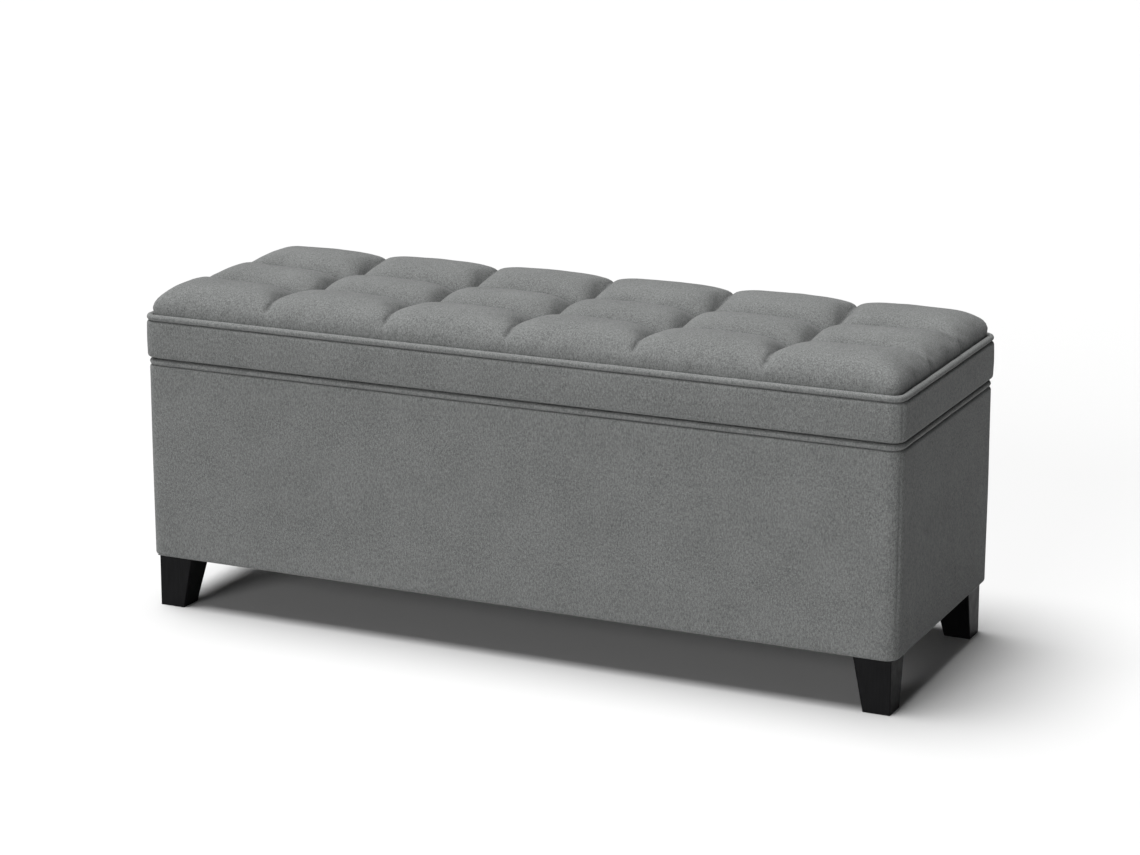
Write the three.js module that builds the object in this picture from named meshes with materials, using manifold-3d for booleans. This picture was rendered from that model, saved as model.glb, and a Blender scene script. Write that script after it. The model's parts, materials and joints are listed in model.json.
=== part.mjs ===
// Upholstered storage bench: a fabric-covered box on four tapered legs, with a tufted lid
// that opens on two butt hinges and is held by a folding damped stay at each end.
// Units are millimetres, +Z is up, the front faces -Y, and the origin is on the floor under
// the middle of the bench's footprint.
import * as THREE from "three";
import { mergeVertices } from "three/addons/utils/BufferGeometryUtils.js";
import Module from "manifold-3d";

const wasm = await Module();
wasm.setup();

// ---- Driving dimensions -------------------------------------------------------------
const GAP = 0.3; // clearance kept between neighbouring pieces
const LENGTH = 1270; // box over its fabric, along X
const DEPTH = 446; // box over its fabric, along Y
const CORNER_RADIUS = 22; // outer corner of the box and of the lid
const LEG_HEIGHT = 84;
const LEG_TOP = 60; // side of a leg where it meets the box
const LEG_FOOT = 43; // side of a leg on the floor
const LEG_EDGE = 2; // rounding of a leg's upright edges
const LEG_INSET = 10; // from the box's fabric to a leg's outer faces
const BOX_SIDE_TOP = 403.4; // top of the box's fabric sleeve, under the piping
const RIM_TOP = 412.7; // top of the box's rim
const LID_BOTTOM = 416.1;
const BAND_TOP = 475.5; // top of the lid's side band, under the piping
const CUSHION_EDGE = 486; // where the tufted top leaves the lid's piping
const CUSHION_CROWN = 528; // highest point of a tuft
const LID_OVERHANG = 2; // lid beyond the box on every side
const TUFT_COLUMNS = 6;
const TUFT_ROWS = 3;

// Material thicknesses
const FABRIC = 1.5;
const THIN_FABRIC = 1; // rim and inner lining
const DUST_SHEET = 0.8;
const BOARD = 12;
const BOX_PIPING_RADIUS = 4.5;
const LID_PIPING_RADIUS = 4.8;
const RAIL = 20; // thickness of the lid's rails and of the hinge rail
const POST = 40; // side of a corner post

// Hinges
const HINGE_X = 400; // from the middle to each hinge
const HINGE_LENGTH = 90;
const HINGE_KNUCKLES = 5;
const KNUCKLE_RADIUS = 4;
const PIN_RADIUS = 2;
const LEAF = 1.2; // leaf thickness
const LEAF_FRONT = 43; // from the hinge axis to a leaf's front edge

// Lid stays: both end pivots are STAY_REACH from the hinge axis, and both arms are STAY_ARM long
const STAY_REACH = 190;
const STAY_ARM = 170;
const LID_PIVOT_DEGREES = 5; // below the horizontal through the hinge axis, lid closed
const BOX_PIVOT_DEGREES = 29;
const ARM = 2.5; // arm thickness
const ARM_HALF_WIDTH = 8;
const STUD_RADIUS = 3.2;
const STUD_HEAD_RADIUS = 6;
const DAMPER_RADIUS = 15;

// ---- Sizes worked out from them -----------------------------------------------------
const HALF_X = LENGTH / 2;
const HALF_Y = DEPTH / 2;
const LID_X = HALF_X + LID_OVERHANG;
const LID_Y = HALF_Y + LID_OVERHANG;

// Distances inward from the box's fabric face
const PADDING_IN = FABRIC + GAP;
const RISER_IN = 2 * BOX_PIPING_RADIUS + GAP; // rim fabric, behind the piping
const BOARD_IN = RISER_IN + THIN_FABRIC + 2 * GAP;
const BOARD_BACK_IN = BOARD_IN + BOARD;
const LINING_IN = BOARD_BACK_IN + GAP;
const CAVITY_IN = LINING_IN + THIN_FABRIC;
const HEM_WIDTH = 30;

// Levels of the box
const DUST_TOP = LEG_HEIGHT + DUST_SHEET;
const HEM_BOTTOM = DUST_TOP + GAP;
const BOARD_BOTTOM = HEM_BOTTOM + THIN_FABRIC + GAP;
const FLOOR_TOP = BOARD_BOTTOM + BOARD;
const FLAP_BOTTOM = 366; // lower edge of the fabric turned over the rim
const BOARD_TOP = RIM_TOP - THIN_FABRIC - GAP;

// Distances inward from the lid's fabric face, and levels of the lid
const LID_FRAME_IN = 8.3;
const CUSHION_IN = 2 * LID_PIPING_RADIUS + 0.7;
const CUSHION_SKIN = 2;
const CUSHION_SHEET = 3; // thickness of the tufted cover, measured vertically
const FOAM_IN = CUSHION_IN + CUSHION_SKIN + GAP;
const LINING_TOP = LID_BOTTOM + DUST_SHEET;
const BAND_BOTTOM = LINING_TOP + GAP;
const RAIL_BOTTOM = BAND_BOTTOM + FABRIC + GAP;
const LID_BOARD_TOP = BAND_TOP - FABRIC;
const LID_BOARD_BOTTOM = LID_BOARD_TOP - BOARD;
const RAIL_TOP = LID_BOARD_BOTTOM - GAP;
const FOAM_BOTTOM = LID_BOARD_TOP + GAP;

// Hinge axis, just behind the lid and midway in the gap under it
const AXIS_Y = LID_Y + 0.6 + KNUCKLE_RADIUS;
const AXIS_Z = (RIM_TOP + LID_BOTTOM) / 2;
const FOOTPRINT_MIDDLE_Y = (AXIS_Y + KNUCKLE_RADIUS - LID_Y) / 2;

const TWINE_RADIUS = 1.2;
const TWINE_HOLE = 1.8;
const TWINE_Z = RAIL_TOP - TWINE_RADIUS - GAP;
const BOLT_RADIUS = 4;
const INSERT_RADIUS = 6.5;
const CLEAR_HOLE = GAP; // added to a shaft's radius for the hole it passes through

// ---- Materials ----------------------------------------------------------------------
const material = (color, roughness, metalness = 0) =>
  new THREE.MeshStandardMaterial({ color, roughness, metalness });
const greyFabric = material(0x74777a, 0.95);
const liningFabric = material(0x1d1d1f, 0.98);
const foamMaterial = material(0xe8e0c4, 1);
const boardWood = material(0xb99a6b, 0.8);
const solidWood = material(0xcfae7c, 0.75);
const blackWood = material(0x101113, 0.4);
const steel = material(0x9fa2a6, 0.35, 1);
const blackSteel = material(0x1b1b1d, 0.45, 0.8);
const rubber = material(0x151515, 0.9);
const twineMaterial = material(0xd8d2c2, 0.9);

// ---- Geometry helpers ---------------------------------------------------------------
const root = new THREE.Group();
root.position.y = -FOOTPRINT_MIDDLE_Y;

function solid(geometry) {
  const bare = geometry.clone();
  bare.deleteAttribute("normal");
  bare.deleteAttribute("uv");
  const merged = mergeVertices(bare, 1e-3);
  return new wasm.Manifold(
    new wasm.Mesh({
      numProp: 3,
      vertProperties: new Float32Array(merged.attributes.position.array),
      triVerts: new Uint32Array(merged.index.array),
    }),
  );
}

function add(name, shape, pieceMaterial) {
  const mesh = shape.getMesh();
  const geometry = new THREE.BufferGeometry();
  geometry.setAttribute("position", new THREE.BufferAttribute(mesh.vertProperties, 3));
  geometry.setIndex(new THREE.BufferAttribute(mesh.triVerts, 1));
  const piece = new THREE.Mesh(geometry, pieceMaterial);
  piece.name = name;
  root.add(piece);
}

const join = (...solids) => solids.reduce((whole, next) => whole.add(next));
const cut = (body, ...tools) => tools.reduce((rest, tool) => rest.subtract(tool), body);

// A rectangle with rounded corners, from low to high, as a list of points.
function roundedOutline(low, high, radius) {
  const shape = new THREE.Shape();
  const [x0, y0] = low;
  const [x1, y1] = high;
  shape.moveTo(x0 + radius, y0);
  shape.lineTo(x1 - radius, y0);
  shape.absarc(x1 - radius, y0 + radius, radius, -Math.PI / 2, 0);
  shape.lineTo(x1, y1 - radius);
  shape.absarc(x1 - radius, y1 - radius, radius, 0, Math.PI / 2);
  shape.lineTo(x0 + radius, y1);
  shape.absarc(x0 + radius, y1 - radius, radius, Math.PI / 2, Math.PI);
  shape.lineTo(x0, y0 + radius);
  shape.absarc(x0 + radius, y0 + radius, radius, Math.PI, 1.5 * Math.PI);
  return shape;
}

function prism(shape, bottom, top) {
  const geometry = new THREE.ExtrudeGeometry(shape, {
    depth: top - bottom,
    bevelEnabled: false,
    curveSegments: 4,
  });
  return solid(geometry.translate(0, 0, bottom));
}

// A block that follows the box's outline, or the lid's, some distance inward from its fabric.
function block(halfX, halfY, inward, bottom, top) {
  const x = halfX - inward;
  const y = halfY - inward;
  const radius = Math.max(CORNER_RADIUS - inward, 2);
  return prism(roundedOutline([-x, -y], [x, y], radius), bottom, top);
}
const boxBlock = (inward, bottom, top) => block(HALF_X, HALF_Y, inward, bottom, top);
const lidBlock = (inward, bottom, top) => block(LID_X, LID_Y, inward, bottom, top);
const boxRing = (outer, inner, bottom, top) =>
  cut(boxBlock(outer, bottom, top), boxBlock(inner, bottom - 1, top + 1));
const lidRing = (outer, inner, bottom, top) =>
  cut(lidBlock(outer, bottom, top), lidBlock(inner, bottom - 1, top + 1));

function brick([x0, x1], [y0, y1], [z0, z1]) {
  const geometry = new THREE.BoxGeometry(x1 - x0, y1 - y0, z1 - z0);
  return solid(geometry.translate((x0 + x1) / 2, (y0 + y1) / 2, (z0 + z1) / 2));
}

function uprightRod(radius, x, y, bottom, top, sides = 12) {
  const geometry = new THREE.CylinderGeometry(radius, radius, top - bottom, sides);
  return solid(geometry.rotateX(Math.PI / 2).translate(x, y, (bottom + top) / 2));
}

// A rod along X.
function levelRod(radius, [x0, x1], y, z, sides = 14) {
  const geometry = new THREE.CylinderGeometry(radius, radius, x1 - x0, sides);
  return solid(geometry.rotateZ(Math.PI / 2).translate((x0 + x1) / 2, y, z));
}

// A round cord that runs once round a rounded rectangle and closes on itself.
function pipingLoop(halfX, halfY, cornerRadius, cordRadius, z) {
  const path = roundedOutline([-halfX, -halfY], [halfX, halfY], cornerRadius);
  const points = path.getPoints(4);
  if (points[0].distanceTo(points[points.length - 1]) < 1e-6) points.pop();
  const line = points.filter((p, i) => i === 0 || p.distanceTo(points[i - 1]) > 1e-6);
  const sides = 8;
  const position = [];
  line.forEach((point, i) => {
    const before = line[(i + line.length - 1) % line.length];
    const after = line[(i + 1) % line.length];
    const along = after.clone().sub(before).normalize();
    const outward = new THREE.Vector2(along.y, -along.x);
    for (let k = 0; k < sides; k++) {
      const angle = (2 * Math.PI * k) / sides;
      const out = cordRadius * Math.cos(angle);
      position.push(
        point.x + outward.x * out,
        point.y + outward.y * out,
        z + cordRadius * Math.sin(angle),
      );
    }
  });
  const index = [];
  line.forEach((_, i) => {
    const next = (i + 1) % line.length;
    for (let k = 0; k < sides; k++) {
      const up = (k + 1) % sides;
      const [a, b, c, d] = [i * sides + k, next * sides + k, next * sides + up, i * sides + up];
      index.push(a, b, c, a, c, d);
    }
  });
  const geometry = new THREE.BufferGeometry();
  geometry.setAttribute("position", new THREE.Float32BufferAttribute(position, 3));
  geometry.setIndex(index);
  return solid(geometry);
}

// ---- Tufted surface -----------------------------------------------------------------
const CUSHION_X = LID_X - CUSHION_IN;
const CUSHION_Y = LID_Y - CUSHION_IN;
const TUFT_LENGTH = (2 * CUSHION_X) / TUFT_COLUMNS;
const TUFT_DEPTH = (2 * CUSHION_Y) / TUFT_ROWS;
const COLUMN_DIP = 24; // how far a seam between columns pulls the surface down
const ROW_DIP = 37; // the same for a seam between rows
const CROSSING_DIP = 7; // further dip where two seams cross
const CROSSING_WIDTH = 16;
const SHOULDER_X = 56; // from a seam to the level top of a tuft
const SHOULDER_Y = TUFT_DEPTH / 2;
const SHOULDER_POWER = 2.2;
const SEAM_FADE = 85; // a seam reaches its full dip this far in from the cushion's edge
const EDGE_REACH = 52; // distance over which the surface rises from the edge to the crown
const EDGE_FADE = 20;
const TUFT_SHARES = [0, 0.06, 0.2, 0.5, 0.8, 0.94]; // grid lines across a tuft

const clamp = (t) => THREE.MathUtils.clamp(t, 0, 1);
const smooth = (t) => THREE.MathUtils.smoothstep(t, 0, 1);

// Distances from the middle to the seams between tufts, on one axis.
function seamPlaces(count, pitch) {
  return Array.from({ length: count - 1 }, (_, i) => (i + 1 - count / 2) * pitch);
}
const SEAM_X = seamPlaces(TUFT_COLUMNS, TUFT_LENGTH);
const SEAM_Y = seamPlaces(TUFT_ROWS, TUFT_DEPTH);

// Height of a rounded shoulder: 0 where it starts, 1 where it is level.
function shoulder(t) {
  return clamp(1 - (1 - clamp(t)) ** SHOULDER_POWER) ** (1 / SHOULDER_POWER);
}

function tuftHeight(x, y) {
  const nearest = (places, at) => Math.min(...places.map((place) => Math.abs(at - place)));
  const fromColumns = nearest(SEAM_X, x);
  const fromRows = nearest(SEAM_Y, y);
  const toEnd = Math.max(CUSHION_X - Math.abs(x), 0);
  const toFront = Math.max(CUSHION_Y - Math.abs(y), 0);
  const edge = Math.min(toEnd, toFront);
  const columns = COLUMN_DIP * (1 - shoulder(fromColumns / SHOULDER_X)) * smooth(toFront / SEAM_FADE);
  const rows = ROW_DIP * (1 - shoulder(fromRows / SHOULDER_Y)) * smooth(toEnd / SEAM_FADE);
  const crossing = CROSSING_DIP * Math.exp(-Math.hypot(fromColumns, fromRows) / CROSSING_WIDTH);
  const dip = columns + rows - (columns * rows) / ROW_DIP + crossing;
  const crown = CUSHION_EDGE + (CUSHION_CROWN - CUSHION_EDGE) * shoulder(edge / EDGE_REACH);
  return crown - dip * smooth(edge / EDGE_FADE);
}

// Grid lines on one axis, closer together beside the seams and the edges.
function gridLines(count, pitch) {
  const starts = Array.from({ length: count }, (_, i) => i - count / 2);
  const lines = starts.flatMap((start) => TUFT_SHARES.map((share) => (start + share) * pitch));
  return [...lines, (count / 2) * pitch];
}

// The solid between the tufted surface lowered by topDrop and a floor given as a function.
function quilt(topDrop, floorAt) {
  const xs = gridLines(TUFT_COLUMNS, TUFT_LENGTH);
  const ys = gridLines(TUFT_ROWS, TUFT_DEPTH);
  const position = [];
  for (const heightAt of [(x, y) => tuftHeight(x, y) - topDrop, floorAt]) {
    ys.forEach((y) => xs.forEach((x) => position.push(x, y, heightAt(x, y))));
  }
  const index = [];
  const floor = xs.length * ys.length;
  const at = (i, j) => j * xs.length + i;
  for (let j = 0; j + 1 < ys.length; j++) {
    for (let i = 0; i + 1 < xs.length; i++) {
      const [a, b, c, d] = [at(i, j), at(i + 1, j), at(i + 1, j + 1), at(i, j + 1)];
      index.push(a, b, c, a, c, d);
      index.push(floor + a, floor + c, floor + b, floor + a, floor + d, floor + c);
    }
  }
  const wall = (a, b) => index.push(floor + a, floor + b, b, floor + a, b, a);
  const lastX = xs.length - 1;
  const lastY = ys.length - 1;
  for (let i = 0; i < lastX; i++) {
    wall(at(i, 0), at(i + 1, 0));
    wall(at(i + 1, lastY), at(i, lastY));
  }
  for (let j = 0; j < lastY; j++) {
    wall(at(lastX, j), at(lastX, j + 1));
    wall(at(0, j + 1), at(0, j));
  }
  const geometry = new THREE.BufferGeometry();
  geometry.setAttribute("position", new THREE.Float32BufferAttribute(position, 3));
  geometry.setIndex(index);
  return solid(geometry);
}

// ---- Box ----------------------------------------------------------------------------
function makeBoards() {
  const x = HALF_X - BOARD_IN;
  const y = HALF_Y - BOARD_IN;
  const levels = [BOARD_BOTTOM, BOARD_TOP];
  const rounded = boxBlock(BOARD_IN, ...levels);
  const front = brick([-x, x], [-y, -y + BOARD], levels);
  const back = brick([-x, x], [y - BOARD, y], levels);
  add("front_panel", front.intersect(rounded), boardWood);
  add("back_panel", back.intersect(rounded), boardWood);
  const between = [-y + BOARD + GAP, y - BOARD - GAP];
  add("left_end_panel", brick([-x, -x + BOARD], between, levels), boardWood);
  add("right_end_panel", brick([x - BOARD, x], between, levels), boardWood);
  const innerX = x - BOARD - GAP;
  const floor = brick([-innerX, innerX], between, [BOARD_BOTTOM, FLOOR_TOP]);
  add("bottom_panel", cut(floor, ...boltHoles(BOARD_BOTTOM, FLOOR_TOP)), boardWood);
  const railY = [y - BOARD - GAP - RAIL, y - BOARD - GAP];
  const rail = brick([-innerX, innerX], railY, [FLAP_BOTTOM + GAP, BOARD_TOP]);
  add("hinge_rail", rail, solidWood);
}

const LEG_CENTRE_X = HALF_X - LEG_INSET - LEG_TOP / 2;
const LEG_CENTRE_Y = HALF_Y - LEG_INSET - LEG_TOP / 2;
const CORNERS = [
  { name: "front_left", sx: -1, sy: -1 },
  { name: "front_right", sx: 1, sy: -1 },
  { name: "back_left", sx: -1, sy: 1 },
  { name: "back_right", sx: 1, sy: 1 },
];

// Clearance holes for the four leg bolts, through a level range.
function boltHoles(bottom, top) {
  return CORNERS.map(({ sx, sy }) =>
    uprightRod(BOLT_RADIUS + CLEAR_HOLE, sx * LEG_CENTRE_X, sy * LEG_CENTRE_Y, bottom - 1, top + 1),
  );
}

const BOLT_BOTTOM = 50;
const BOLT_TOP = 116;
const INSERT_LENGTH = 20;

function makeCorner({ name, sx, sy }) {
  const x = sx * LEG_CENTRE_X;
  const y = sy * LEG_CENTRE_Y;
  const postBottom = FLOOR_TOP + GAP;
  const insertTop = postBottom + INSERT_LENGTH;
  const outerX = HALF_X - LINING_IN;
  const outerY = HALF_Y - LINING_IN;
  const span = (sign, outer) => [sign * outer, sign * (outer - POST)].sort((a, b) => a - b);
  const post = brick(span(sx, outerX), span(sy, outerY), [postBottom, FLAP_BOTTOM - 0.5]);
  const socket = uprightRod(INSERT_RADIUS + CLEAR_HOLE, x, y, postBottom - 1, insertTop + GAP);
  add(`${name}_corner_post`, cut(post, socket), solidWood);

  const sleeve = uprightRod(INSERT_RADIUS, x, y, postBottom, insertTop);
  const bore = uprightRod(BOLT_RADIUS + CLEAR_HOLE, x, y, postBottom - 1, insertTop + 1);
  add(`${name}_leg_insert`, cut(sleeve, bore), steel);
  add(`${name}_leg_bolt`, uprightRod(BOLT_RADIUS, x, y, BOLT_BOTTOM, BOLT_TOP), steel);

  const drill = uprightRod(BOLT_RADIUS + CLEAR_HOLE, x, y, BOLT_BOTTOM - 1, LEG_HEIGHT + 1);
  add(`${name}_leg`, cut(taperedLeg(x, y, sx, sy), drill), blackWood);
}

// A leg whose two outer faces are upright and whose two inner faces taper.
function taperedLeg(x, y, sx, sy) {
  const height = LEG_HEIGHT - GAP;
  const half = LEG_TOP / 2;
  const outline = roundedOutline([x - half, y - half], [x + half, y + half], LEG_EDGE);
  const geometry = new THREE.ExtrudeGeometry(outline, {
    depth: height,
    bevelEnabled: false,
    curveSegments: 2,
  });
  const position = geometry.attributes.position;
  const outerX = x + sx * half;
  const outerY = y + sy * half;
  const taper = LEG_FOOT / LEG_TOP;
  for (let i = 0; i < position.count; i++) {
    if (position.getZ(i) > height / 2) continue;
    position.setX(i, outerX + (position.getX(i) - outerX) * taper);
    position.setY(i, outerY + (position.getY(i) - outerY) * taper);
  }
  return solid(geometry);
}

function makeBoxCovering() {
  const paddingTop = BOX_SIDE_TOP - THIN_FABRIC - GAP;
  const padding = boxRing(PADDING_IN, BOARD_IN - GAP, BOARD_BOTTOM, paddingTop);
  add("box_padding", padding, foamMaterial);

  const side = boxRing(0, FABRIC, HEM_BOTTOM, BOX_SIDE_TOP);
  const hem = boxRing(0, HEM_WIDTH, HEM_BOTTOM, HEM_BOTTOM + THIN_FABRIC);
  const fold = boxRing(0, BOARD_IN - GAP, BOX_SIDE_TOP - THIN_FABRIC, BOX_SIDE_TOP);
  add("box_cover", join(side, hem, fold), greyFabric);

  const centreIn = BOX_PIPING_RADIUS;
  const piping = pipingLoop(
    HALF_X - centreIn,
    HALF_Y - centreIn,
    CORNER_RADIUS - centreIn,
    BOX_PIPING_RADIUS,
    BOX_SIDE_TOP + GAP + BOX_PIPING_RADIUS,
  );
  add("box_piping", piping, greyFabric);

  const dust = boxBlock(8, LEG_HEIGHT, DUST_TOP);
  add("dust_cover", cut(dust, ...boltHoles(LEG_HEIGHT, DUST_TOP)), liningFabric);
}

// The mouth of the box inside the rim fabric, grown outward by some distance.
function mouth(outward, bottom, top) {
  const x = HALF_X - CAVITY_IN + outward;
  const front = -(HALF_Y - CAVITY_IN) - outward;
  const back = HALF_Y - CAVITY_IN - RAIL - 2 * GAP + outward;
  return prism(roundedOutline([-x, front], [x, back], 2), bottom, top);
}

function makeRimCover() {
  const riser = boxRing(RISER_IN, RISER_IN + THIN_FABRIC, BOX_SIDE_TOP + GAP, RIM_TOP);
  const lip = cut(
    boxBlock(RISER_IN, RIM_TOP - THIN_FABRIC, RIM_TOP),
    mouth(0, RIM_TOP - 2, RIM_TOP + 1),
  );
  const flap = cut(
    mouth(THIN_FABRIC, FLAP_BOTTOM, RIM_TOP),
    mouth(0, FLAP_BOTTOM - 1, RIM_TOP + 1),
  );
  add("rim_cover", join(riser, lip, flap), greyFabric);
}

// A rectangle with a square notch taken out of each corner.
function notchedOutline(halfX, halfY, notch) {
  const turns = CORNERS.map(({ sx, sy }) => ({ sx, sy })).sort(
    (a, b) => Math.atan2(a.sy, a.sx) - Math.atan2(b.sy, b.sx),
  );
  const points = turns.flatMap(({ sx, sy }) => {
    const side = new THREE.Vector2(sx * halfX, sy * (halfY - notch));
    const inner = new THREE.Vector2(sx * (halfX - notch), sy * (halfY - notch));
    const end = new THREE.Vector2(sx * (halfX - notch), sy * halfY);
    return sx * sy > 0 ? [side, inner, end] : [end, inner, side];
  });
  return new THREE.Shape(points);
}

function makeLining() {
  const x = HALF_X - LINING_IN;
  const y = HALF_Y - LINING_IN;
  const notch = POST + GAP;
  const bottom = FLOOR_TOP + GAP;
  const outside = prism(notchedOutline(x, y, notch), bottom, FLAP_BOTTOM - GAP);
  const inside = notchedOutline(x - THIN_FABRIC, y - THIN_FABRIC, notch);
  const bag = cut(outside, prism(inside, bottom + THIN_FABRIC, FLAP_BOTTOM + 1));
  add("box_lining", bag, liningFabric);
}

const BUMPER_RADIUS = 6;
function makeBumpers() {
  const inward = BOARD_IN + BOARD / 2;
  for (const [name, sx] of [["left", -1], ["right", 1]]) {
    const x = sx * (HALF_X - inward);
    const y = -(HALF_Y - inward);
    const bumper = uprightRod(BUMPER_RADIUS, x, y, RIM_TOP + GAP, LID_BOTTOM - GAP);
    add(`${name}_lid_bumper`, bumper, rubber);
  }
}

// ---- Lid ----------------------------------------------------------------------------
function makeLidFrame() {
  const x = LID_X - LID_FRAME_IN;
  const y = LID_Y - LID_FRAME_IN;
  const levels = [RAIL_BOTTOM, RAIL_TOP];
  const rounded = lidBlock(LID_FRAME_IN, ...levels);
  const front = brick([-x, x], [-y, -y + RAIL], levels);
  const back = brick([-x, x], [y - RAIL, y], levels);
  add("lid_front_rail", front.intersect(rounded), solidWood);
  add("lid_back_rail", back.intersect(rounded), solidWood);
  const between = [-y + RAIL + GAP, y - RAIL - GAP];
  add("lid_left_rail", brick([-x, -x + RAIL], between, levels), solidWood);
  add("lid_right_rail", brick([x - RAIL, x], between, levels), solidWood);

  const crossbar = brick([-RAIL, RAIL], between, levels);
  const grooves = SEAM_Y.map((at) =>
    brick([-RAIL - 1, RAIL + 1], [at - 2.5, at + 2.5], [TWINE_Z - 2.5, RAIL_TOP + 1]),
  );
  add("lid_crossbar", cut(crossbar, ...grooves), solidWood);

  const board = lidBlock(LID_FRAME_IN, LID_BOARD_BOTTOM, LID_BOARD_TOP);
  add("lid_board", cut(board, ...twineHoles()), boardWood);
}

function twineHoles() {
  return SEAM_Y.flatMap((y) =>
    SEAM_X.map((x) => uprightRod(TWINE_HOLE, x, y, RAIL_TOP, CUSHION_CROWN, 8)),
  );
}

function makeLidCovering() {
  const side = lidRing(0, FABRIC, BAND_BOTTOM, BAND_TOP);
  const hem = lidRing(0, HEM_WIDTH, BAND_BOTTOM, BAND_BOTTOM + FABRIC);
  const fold = lidRing(0, CUSHION_IN - GAP, BAND_TOP - FABRIC + GAP, BAND_TOP);
  add("lid_band", join(side, hem, fold), greyFabric);
  const padding = lidRing(FABRIC + GAP, LID_FRAME_IN - GAP, RAIL_BOTTOM, LID_BOARD_TOP);
  add("lid_padding", padding, foamMaterial);

  const centreIn = LID_PIPING_RADIUS + 0.2;
  const piping = pipingLoop(
    LID_X - centreIn,
    LID_Y - centreIn,
    CORNER_RADIUS - centreIn,
    LID_PIPING_RADIUS,
    BAND_TOP + GAP + LID_PIPING_RADIUS,
  );
  add("lid_piping", piping, greyFabric);
  add("lid_lining", lidBlock(10, LID_BOTTOM, LINING_TOP), liningFabric);
}

function makeCushion() {
  const skirt = lidRing(CUSHION_IN, CUSHION_IN + CUSHION_SKIN, FOAM_BOTTOM, CUSHION_EDGE - 0.5);
  const sheet = quilt(0, (x, y) => tuftHeight(x, y) - CUSHION_SHEET);
  const outline = lidBlock(CUSHION_IN, FOAM_BOTTOM, CUSHION_CROWN + 10);
  add("tufted_top", join(sheet.intersect(outline), skirt), greyFabric);

  const foam = quilt(CUSHION_SHEET + GAP, () => FOAM_BOTTOM);
  const foamOutline = lidBlock(FOAM_IN, FOAM_BOTTOM - 1, CUSHION_CROWN);
  add("lid_foam", cut(foam.intersect(foamOutline), ...twineHoles()), foamMaterial);
}

// One length of twine per row of tufts: a run under the board, and a leg up to each crossing.
function makeTwine(name, y) {
  const reach = SEAM_X[SEAM_X.length - 1];
  const run = levelRod(TWINE_RADIUS, [-reach, reach], y, TWINE_Z, 8);
  const legs = SEAM_X.map((x) => {
    const top = tuftHeight(x, y) - CUSHION_SHEET - 2 * GAP;
    return uprightRod(TWINE_RADIUS, x, y, TWINE_Z, top, 8);
  });
  add(name, join(run, ...legs), twineMaterial);
}

// ---- Hinges -------------------------------------------------------------------------
// The knuckles that belong to one leaf: the box leaf has the odd ones, the lid leaf the even.
function knuckleSpans(centre, own) {
  const pitch = HINGE_LENGTH / HINGE_KNUCKLES;
  const first = centre - HINGE_LENGTH / 2;
  return Array.from({ length: HINGE_KNUCKLES }, (_, i) => i)
    .filter((i) => (i % 2 === 0) === own)
    .map((i) => [first + i * pitch, first + (i + 1) * pitch]);
}

function hingeLeaf(centre, isBoxLeaf, bottom) {
  const plateX = [centre - HINGE_LENGTH / 2, centre + HINGE_LENGTH / 2];
  const plate = brick(plateX, [AXIS_Y - LEAF_FRONT, AXIS_Y], [bottom, bottom + LEAF]);
  const room = KNUCKLE_RADIUS + 2 * GAP;
  const otherKnuckles = knuckleSpans(centre, !isBoxLeaf).map(([x0, x1]) =>
    levelRod(room, [x0 - GAP / 2, x1 + GAP / 2], AXIS_Y, AXIS_Z),
  );
  const ownKnuckles = knuckleSpans(centre, isBoxLeaf).map(([x0, x1]) =>
    levelRod(KNUCKLE_RADIUS, [x0 + GAP / 2, x1 - GAP / 2], AXIS_Y, AXIS_Z),
  );
  const bore = levelRod(PIN_RADIUS + CLEAR_HOLE, [plateX[0] - 1, plateX[1] + 1], AXIS_Y, AXIS_Z);
  const screwHoles = [-1, 0, 1].map((i) => {
    const y = AXIS_Y - LEAF_FRONT + (i === 0 ? 19 : 10);
    return uprightRod(2.3, centre + i * 32, y, bottom - 1, bottom + LEAF + 1, 12);
  });
  return cut(join(cut(plate, ...otherKnuckles), ...ownKnuckles), bore, ...screwHoles);
}

function makeHinge(side, centre) {
  add(`${side}_hinge_box_leaf`, hingeLeaf(centre, true, RIM_TOP + GAP), steel);
  add(`${side}_hinge_lid_leaf`, hingeLeaf(centre, false, LID_BOTTOM - GAP - LEAF), steel);
  const pinX = [centre - HINGE_LENGTH / 2, centre + HINGE_LENGTH / 2];
  add(`${side}_hinge_pin`, levelRod(PIN_RADIUS, pinX, AXIS_Y, AXIS_Z), steel);
}

// ---- Lid stays ----------------------------------------------------------------------
const radians = THREE.MathUtils.degToRad;
const fromAxis = (distance, degrees) => ({
  y: AXIS_Y + distance * Math.cos(radians(180 + degrees)),
  z: AXIS_Z + distance * Math.sin(radians(180 + degrees)),
});
const BOX_PIVOT = fromAxis(STAY_REACH, BOX_PIVOT_DEGREES);
const LID_PIVOT = fromAxis(STAY_REACH, LID_PIVOT_DEGREES);

// The elbow where the two equal arms meet, in front of the line between the end pivots.
function elbow() {
  const dy = LID_PIVOT.y - BOX_PIVOT.y;
  const dz = LID_PIVOT.z - BOX_PIVOT.z;
  const span = Math.hypot(dy, dz);
  const bulge = Math.sqrt(STAY_ARM ** 2 - (span / 2) ** 2);
  return {
    y: (BOX_PIVOT.y + LID_PIVOT.y) / 2 - (dz / span) * bulge,
    z: (BOX_PIVOT.z + LID_PIVOT.z) / 2 + (dy / span) * bulge,
  };
}
const ELBOW = elbow();

// Layers of a stay across X, as distances inward from the box's lining.
const BRACKET = 2;
const LOWER_ARM_AT = GAP + BRACKET + 1;
const UPPER_ARM_AT = LOWER_ARM_AT + ARM + 0.5;
const EAR_AT = UPPER_ARM_AT + ARM + 0.8;
const STAY_FACE_X = HALF_X - CAVITY_IN;

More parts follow.
